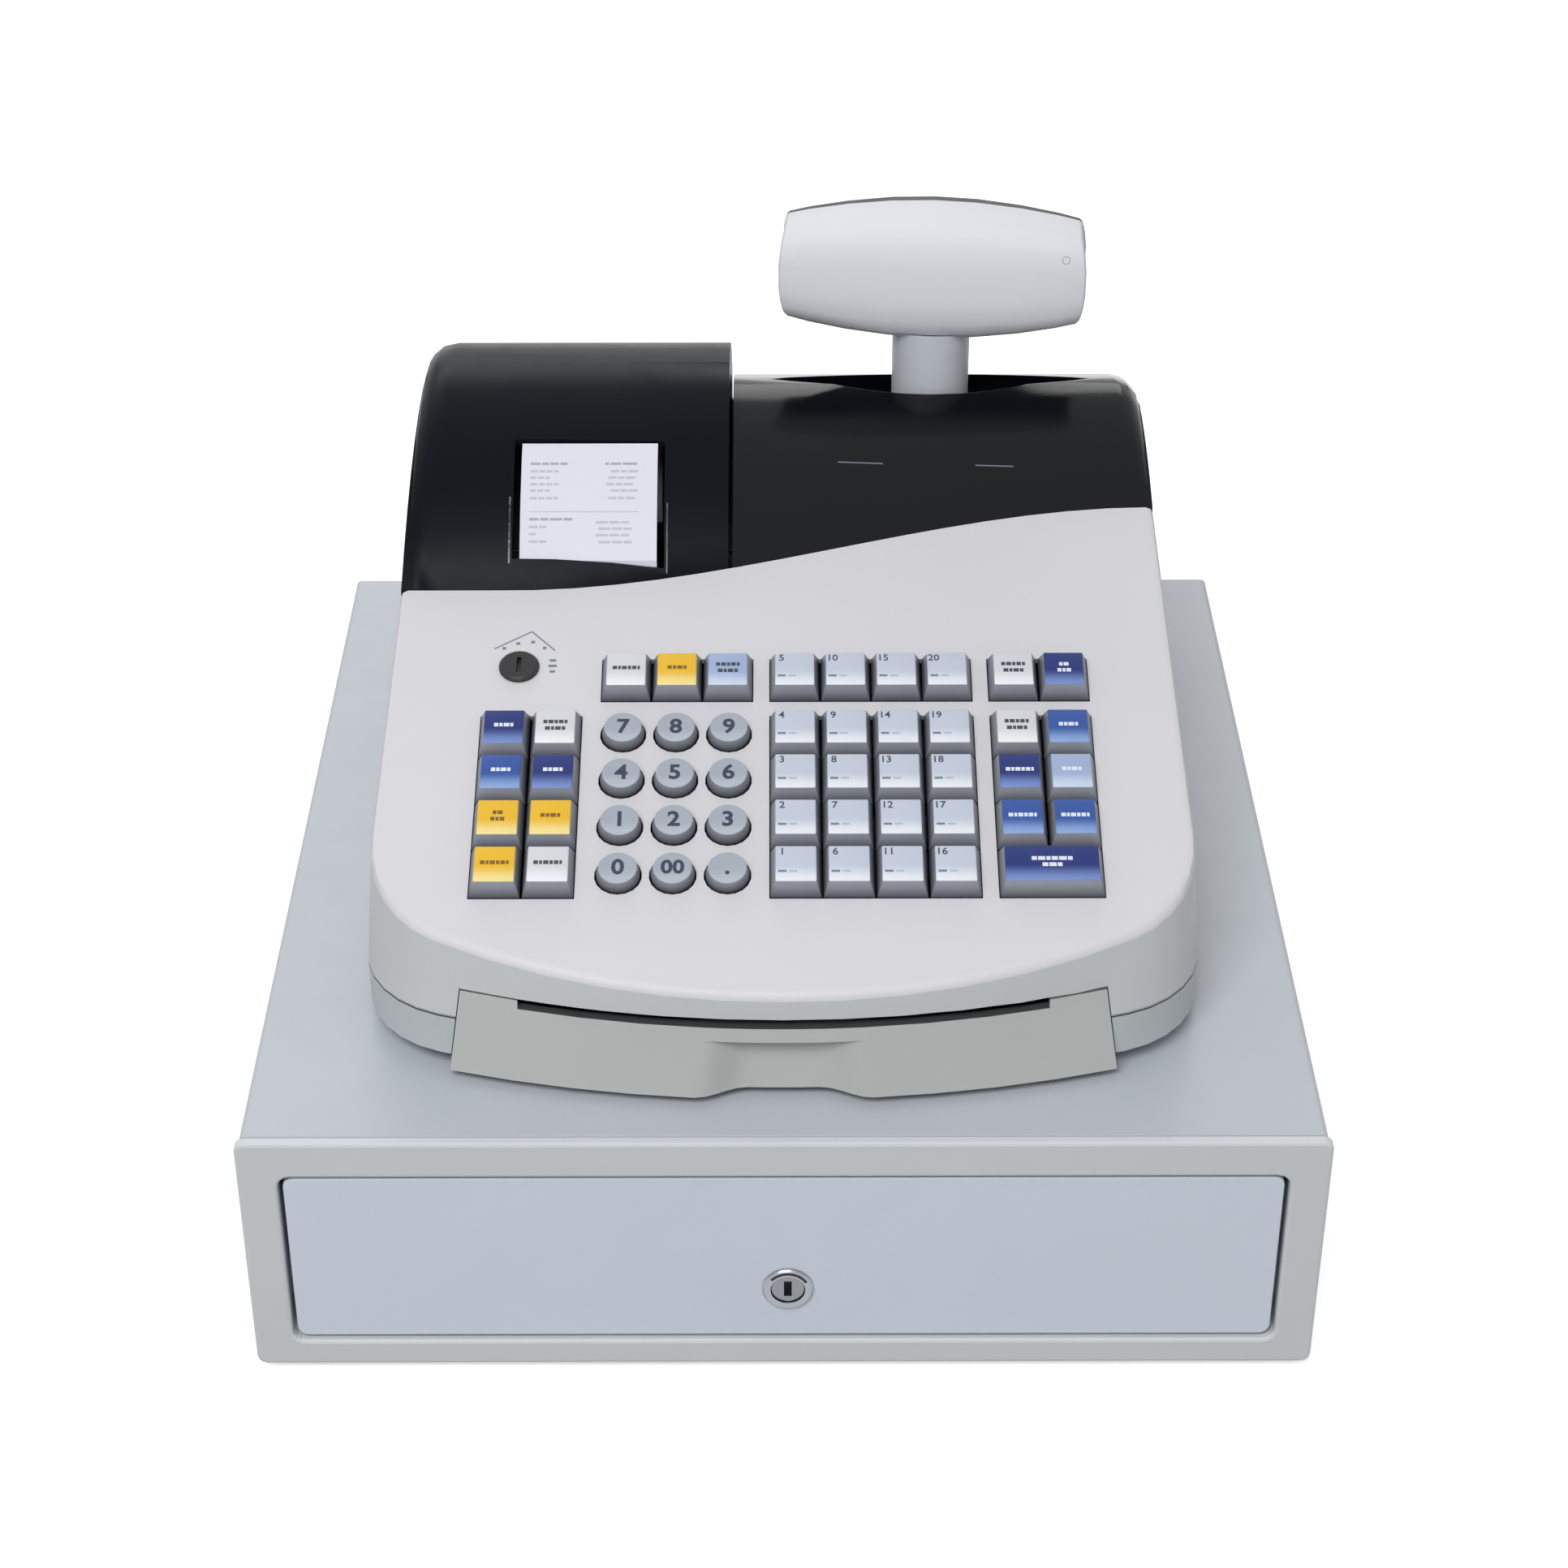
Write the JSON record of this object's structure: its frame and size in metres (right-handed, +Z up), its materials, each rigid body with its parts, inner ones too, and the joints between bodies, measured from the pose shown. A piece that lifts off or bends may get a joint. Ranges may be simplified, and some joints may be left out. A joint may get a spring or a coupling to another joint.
{
  "type": "cash register",
  "caption": "Electronic cash register on a steel cash drawer, with receipt printer, keyboard, key switch, slip tray and turning customer display.",
  "frame": {"origin": "on the counter, under the middle of the cabinet", "axes": "+Z up, -Y towards the cashier, where the drawer opens, +X to the cashier's right"},
  "size_m": [0.41, 0.424, 0.3415],
  "materials": {
    "cabinet_paint": "satin powder coat",
    "drawer_paint": "satin powder coat",
    "drawer_steel": "matt grey paint",
    "rubber": "matt",
    "till_plastic": "fine grain",
    "spring_steel": "bright zinc",
    "lock_chrome": "polished",
    "copper_coil": "varnished",
    "case_plastic": "fine grain",
    "lower_plastic": "fine grain",
    "tray_plastic": "fine grain",
    "hood_plastic": "smoked, half matt",
    "cover_plastic": "gloss",
    "dark_plastic": "matt",
    "paper": "uncoated paper",
    "pod_plastic": "fine grain",
    "neck_plastic": "fine grain",
    "window": "clear tinted",
    "display_dark": "gloss",
    "board_green": "solder mask",
    "plate_plastic": "matt",
    "number_cap": "half gloss",
    "key_cap": "half gloss"
  },
  "bodies": {
    "cabinet_and_housing": {"cabinet_base": "cabinet_paint", "cabinet_cover": "cabinet_paint", "cabinet_foot_1": "rubber", "cabinet_foot_2": "rubber", "cabinet_foot_3": "rubber", "cabinet_foot_4": "rubber", "release_solenoid": "copper_coil", "lower_case": "lower_plastic", "upper_case": "case_plastic", "keyboard_plate": "plate_plastic", "printer_frame": "dark_plastic", "receipt_paper": "paper", "rear_cover": "cover_plastic", "operator_display": "display_dark", "main_board": "board_green"},
    "drawer": {"drawer_box": "drawer_steel", "drawer_front": "drawer_paint", "till_insert": "till_plastic", "lock_barrel": "lock_chrome"},
    "lock_plug": {"lock_plug": "lock_chrome"},
    "latch_lever": {"latch_lever": "spring_steel"},
    "slip_tray": {"slip_tray": "tray_plastic"},
    "printer_cover": {"printer_cover": "hood_plastic"},
    "paper_roll": {"paper_roll": "paper"},
    "platen_roller": {"platen_roller": "rubber"},
    "mode_switch": {"mode_switch": "dark_plastic"},
    "display_neck": {"display_neck": "neck_plastic"},
    "customer_display": {"customer_display": "pod_plastic", "display_window": "window"},
    "note_clip_1": {"note_clip_1": "spring_steel"},
    "note_clip_2": {"note_clip_2": "spring_steel"},
    "note_clip_3": {"note_clip_3": "spring_steel"},
    "note_clip_4": {"note_clip_4": "spring_steel"},
    "key_number_0": {"key_number_0": "number_cap"},
    "key_number_00": {"key_number_00": "number_cap"},
    "key_number_point": {"key_number_point": "number_cap"},
    "key_number_1": {"key_number_1": "number_cap"},
    "key_number_2": {"key_number_2": "number_cap"},
    "key_number_3": {"key_number_3": "number_cap"},
    "key_number_4": {"key_number_4": "number_cap"},
    "key_number_5": {"key_number_5": "number_cap"},
    "key_number_6": {"key_number_6": "number_cap"},
    "key_number_7": {"key_number_7": "number_cap"},
    "key_number_8": {"key_number_8": "number_cap"},
    "key_number_9": {"key_number_9": "number_cap"},
    "key_left_1_1": {"key_left_1_1": "key_cap"},
    "key_left_1_2": {"key_left_1_2": "key_cap"},
    "key_left_2_1": {"key_left_2_1": "key_cap"},
    "key_left_2_2": {"key_left_2_2": "key_cap"},
    "key_left_3_1": {"key_left_3_1": "key_cap"},
    "key_left_3_2": {"key_left_3_2": "key_cap"},
    "key_left_4_1": {"key_left_4_1": "key_cap"},
    "key_left_4_2": {"key_left_4_2": "key_cap"},
    "key_right_2_1": {"key_right_2_1": "key_cap"},
    "key_right_2_2": {"key_right_2_2": "key_cap"},
    "key_right_3_1": {"key_right_3_1": "key_cap"},
    "key_right_3_2": {"key_right_3_2": "key_cap"},
    "key_right_4_1": {"key_right_4_1": "key_cap"},
    "key_right_4_2": {"key_right_4_2": "key_cap"},
    "key_right_wide": {"key_right_wide": "key_cap"}
  },
  "joints": [
    {"name": "drawer_slide", "type": "slide", "parent": "cabinet_and_housing", "child": "drawer", "axis": [0, -1, 0], "range_m": [0, 0.29]},
    {"name": "lock_turn", "type": "hinge", "parent": "drawer", "child": "lock_plug", "pos_m": [0.0015, -0.2, 0.041], "axis": [0, 1, 0], "range_deg": [0, 90]},
    {"name": "latch_turn", "type": "hinge", "parent": "cabinet_and_housing", "child": "latch_lever", "pos_m": [0, 0.165, 0.0087], "axis": [-1, 0, 0], "range_deg": [0, 7]},
    {"name": "slip_tray_slide", "type": "slide", "parent": "cabinet_and_housing", "child": "slip_tray", "axis": [0, -1, 0], "range_m": [0, 0.095]},
    {"name": "printer_cover_hinge", "type": "hinge", "parent": "cabinet_and_housing", "child": "printer_cover", "pos_m": [-0.08, 0.1916, 0.2224], "axis": [-1, 0, 0], "range_deg": [0, 80]},
    {"name": "paper_roll_turn", "type": "hinge", "parent": "cabinet_and_housing", "child": "paper_roll", "pos_m": [-0.08, 0.125, 0.208], "axis": [1, 0, 0], "continuous": true},
    {"name": "platen_turn", "type": "hinge", "parent": "cabinet_and_housing", "child": "platen_roller", "pos_m": [-0.08, 0.05, 0.193], "axis": [1, 0, 0], "continuous": true},
    {"name": "mode_switch_turn", "type": "hinge", "parent": "cabinet_and_housing", "child": "mode_switch", "pos_m": [-0.106, -0.02803, 0.20869], "axis": [0, -0.2924, 0.9563], "range_deg": [-60, 120]},
    {"name": "neck_lift", "type": "slide", "parent": "cabinet_and_housing", "child": "display_neck", "axis": [0, 0, 1], "range_m": [-0.015, 0]},
    {"name": "display_swivel", "type": "hinge", "parent": "display_neck", "child": "customer_display", "pos_m": [0.0643, 0.129, 0.3125], "axis": [0, 0, 1], "range_deg": [-86, 94]},
    {"name": "note_clip_1_hinge", "type": "hinge", "parent": "drawer", "child": "note_clip_1", "pos_m": [-0.13211, 0.125, 0.0617], "axis": [-1, 0, 0], "range_deg": [0, 40], "stiffness_Nm_per_rad": 0.02, "springref_deg": -22.92},
    {"name": "note_clip_2_hinge", "type": "hinge", "parent": "drawer", "child": "note_clip_2", "pos_m": [-0.04404, 0.125, 0.0617], "axis": [-1, 0, 0], "range_deg": [0, 40], "stiffness_Nm_per_rad": 0.02, "springref_deg": -22.92},
    {"name": "note_clip_3_hinge", "type": "hinge", "parent": "drawer", "child": "note_clip_3", "pos_m": [0.04404, 0.125, 0.0617], "axis": [-1, 0, 0], "range_deg": [0, 40], "stiffness_Nm_per_rad": 0.02, "springref_deg": -22.92},
    {"name": "note_clip_4_hinge", "type": "hinge", "parent": "drawer", "child": "note_clip_4", "pos_m": [0.13211, 0.125, 0.0617], "axis": [-1, 0, 0], "range_deg": [0, 40], "stiffness_Nm_per_rad": 0.02, "springref_deg": -22.92},
    {"name": "key_number_0_press", "type": "slide", "parent": "cabinet_and_housing", "child": "key_number_0", "axis": [0, -0.2924, 0.9563], "range_m": [-0.003, 0], "stiffness_N_per_m": 150, "springref_m": 0.003},
    {"name": "key_number_00_press", "type": "slide", "parent": "cabinet_and_housing", "child": "key_number_00", "axis": [0, -0.2924, 0.9563], "range_m": [-0.003, 0], "stiffness_N_per_m": 150, "springref_m": 0.003},
    {"name": "key_number_point_press", "type": "slide", "parent": "cabinet_and_housing", "child": "key_number_point", "axis": [0, -0.2924, 0.9563], "range_m": [-0.003, 0], "stiffness_N_per_m": 150, "springref_m": 0.003},
    {"name": "key_number_1_press", "type": "slide", "parent": "cabinet_and_housing", "child": "key_number_1", "axis": [0, -0.2924, 0.9563], "range_m": [-0.003, 0], "stiffness_N_per_m": 150, "springref_m": 0.003},
    {"name": "key_number_2_press", "type": "slide", "parent": "cabinet_and_housing", "child": "key_number_2", "axis": [0, -0.2924, 0.9563], "range_m": [-0.003, 0], "stiffness_N_per_m": 150, "springref_m": 0.003},
    {"name": "key_number_3_press", "type": "slide", "parent": "cabinet_and_housing", "child": "key_number_3", "axis": [0, -0.2924, 0.9563], "range_m": [-0.003, 0], "stiffness_N_per_m": 150, "springref_m": 0.003},
    {"name": "key_number_4_press", "type": "slide", "parent": "cabinet_and_housing", "child": "key_number_4", "axis": [0, -0.2924, 0.9563], "range_m": [-0.003, 0], "stiffness_N_per_m": 150, "springref_m": 0.003},
    {"name": "key_number_5_press", "type": "slide", "parent": "cabinet_and_housing", "child": "key_number_5", "axis": [0, -0.2924, 0.9563], "range_m": [-0.003, 0], "stiffness_N_per_m": 150, "springref_m": 0.003},
    {"name": "key_number_6_press", "type": "slide", "parent": "cabinet_and_housing", "child": "key_number_6", "axis": [0, -0.2924, 0.9563], "range_m": [-0.003, 0], "stiffness_N_per_m": 150, "springref_m": 0.003},
    {"name": "key_number_7_press", "type": "slide", "parent": "cabinet_and_housing", "child": "key_number_7", "axis": [0, -0.2924, 0.9563], "range_m": [-0.003, 0], "stiffness_N_per_m": 150, "springref_m": 0.003},
    {"name": "key_number_8_press", "type": "slide", "parent": "cabinet_and_housing", "child": "key_number_8", "axis": [0, -0.2924, 0.9563], "range_m": [-0.003, 0], "stiffness_N_per_m": 150, "springref_m": 0.003},
    {"name": "key_number_9_press", "type": "slide", "parent": "cabinet_and_housing", "child": "key_number_9", "axis": [0, -0.2924, 0.9563], "range_m": [-0.003, 0], "stiffness_N_per_m": 150, "springref_m": 0.003},
    {"name": "key_left_1_1_press", "type": "slide", "parent": "cabinet_and_housing", "child": "key_left_1_1", "axis": [0, -0.2924, 0.9563], "range_m": [-0.003, 0], "stiffness_N_per_m": 150, "springref_m": 0.003},
    {"name": "key_left_1_2_press", "type": "slide", "parent": "cabinet_and_housing", "child": "key_left_1_2", "axis": [0, -0.2924, 0.9563], "range_m": [-0.003, 0], "stiffness_N_per_m": 150, "springref_m": 0.003},
    {"name": "key_left_2_1_press", "type": "slide", "parent": "cabinet_and_housing", "child": "key_left_2_1", "axis": [0, -0.2924, 0.9563], "range_m": [-0.003, 0], "stiffness_N_per_m": 150, "springref_m": 0.003},
    {"name": "key_left_2_2_press", "type": "slide", "parent": "cabinet_and_housing", "child": "key_left_2_2", "axis": [0, -0.2924, 0.9563], "range_m": [-0.003, 0], "stiffness_N_per_m": 150, "springref_m": 0.003},
    {"name": "key_left_3_1_press", "type": "slide", "parent": "cabinet_and_housing", "child": "key_left_3_1", "axis": [0, -0.2924, 0.9563], "range_m": [-0.003, 0], "stiffness_N_per_m": 150, "springref_m": 0.003},
    {"name": "key_left_3_2_press", "type": "slide", "parent": "cabinet_and_housing", "child": "key_left_3_2", "axis": [0, -0.2924, 0.9563], "range_m": [-0.003, 0], "stiffness_N_per_m": 150, "springref_m": 0.003},
    {"name": "key_left_4_1_press", "type": "slide", "parent": "cabinet_and_housing", "child": "key_left_4_1", "axis": [0, -0.2924, 0.9563], "range_m": [-0.003, 0], "stiffness_N_per_m": 150, "springref_m": 0.003},
    {"name": "key_left_4_2_press", "type": "slide", "parent": "cabinet_and_housing", "child": "key_left_4_2", "axis": [0, -0.2924, 0.9563], "range_m": [-0.003, 0], "stiffness_N_per_m": 150, "springref_m": 0.003},
    {"name": "key_right_2_1_press", "type": "slide", "parent": "cabinet_and_housing", "child": "key_right_2_1", "axis": [0, -0.2924, 0.9563], "range_m": [-0.003, 0], "stiffness_N_per_m": 150, "springref_m": 0.003},
    {"name": "key_right_2_2_press", "type": "slide", "parent": "cabinet_and_housing", "child": "key_right_2_2", "axis": [0, -0.2924, 0.9563], "range_m": [-0.003, 0], "stiffness_N_per_m": 150, "springref_m": 0.003},
    {"name": "key_right_3_1_press", "type": "slide", "parent": "cabinet_and_housing", "child": "key_right_3_1", "axis": [0, -0.2924, 0.9563], "range_m": [-0.003, 0], "stiffness_N_per_m": 150, "springref_m": 0.003},
    {"name": "key_right_3_2_press", "type": "slide", "parent": "cabinet_and_housing", "child": "key_right_3_2", "axis": [0, -0.2924, 0.9563], "range_m": [-0.003, 0], "stiffness_N_per_m": 150, "springref_m": 0.003},
    {"name": "key_right_4_1_press", "type": "slide", "parent": "cabinet_and_housing", "child": "key_right_4_1", "axis": [0, -0.2924, 0.9563], "range_m": [-0.003, 0], "stiffness_N_per_m": 150, "springref_m": 0.003},
    {"name": "key_right_4_2_press", "type": "slide", "parent": "cabinet_and_housing", "child": "key_right_4_2", "axis": [0, -0.2924, 0.9563], "range_m": [-0.003, 0], "stiffness_N_per_m": 150, "springref_m": 0.003},
    {"name": "key_right_wide_press", "type": "slide", "parent": "cabinet_and_housing", "child": "key_right_wide", "axis": [0, -0.2924, 0.9563], "range_m": [-0.003, 0], "stiffness_N_per_m": 150, "springref_m": 0.003}
  ],
  "couplings": [
    {"joint": "platen_turn", "follows": "paper_roll_turn", "ratio": 3.8667}
  ]
}
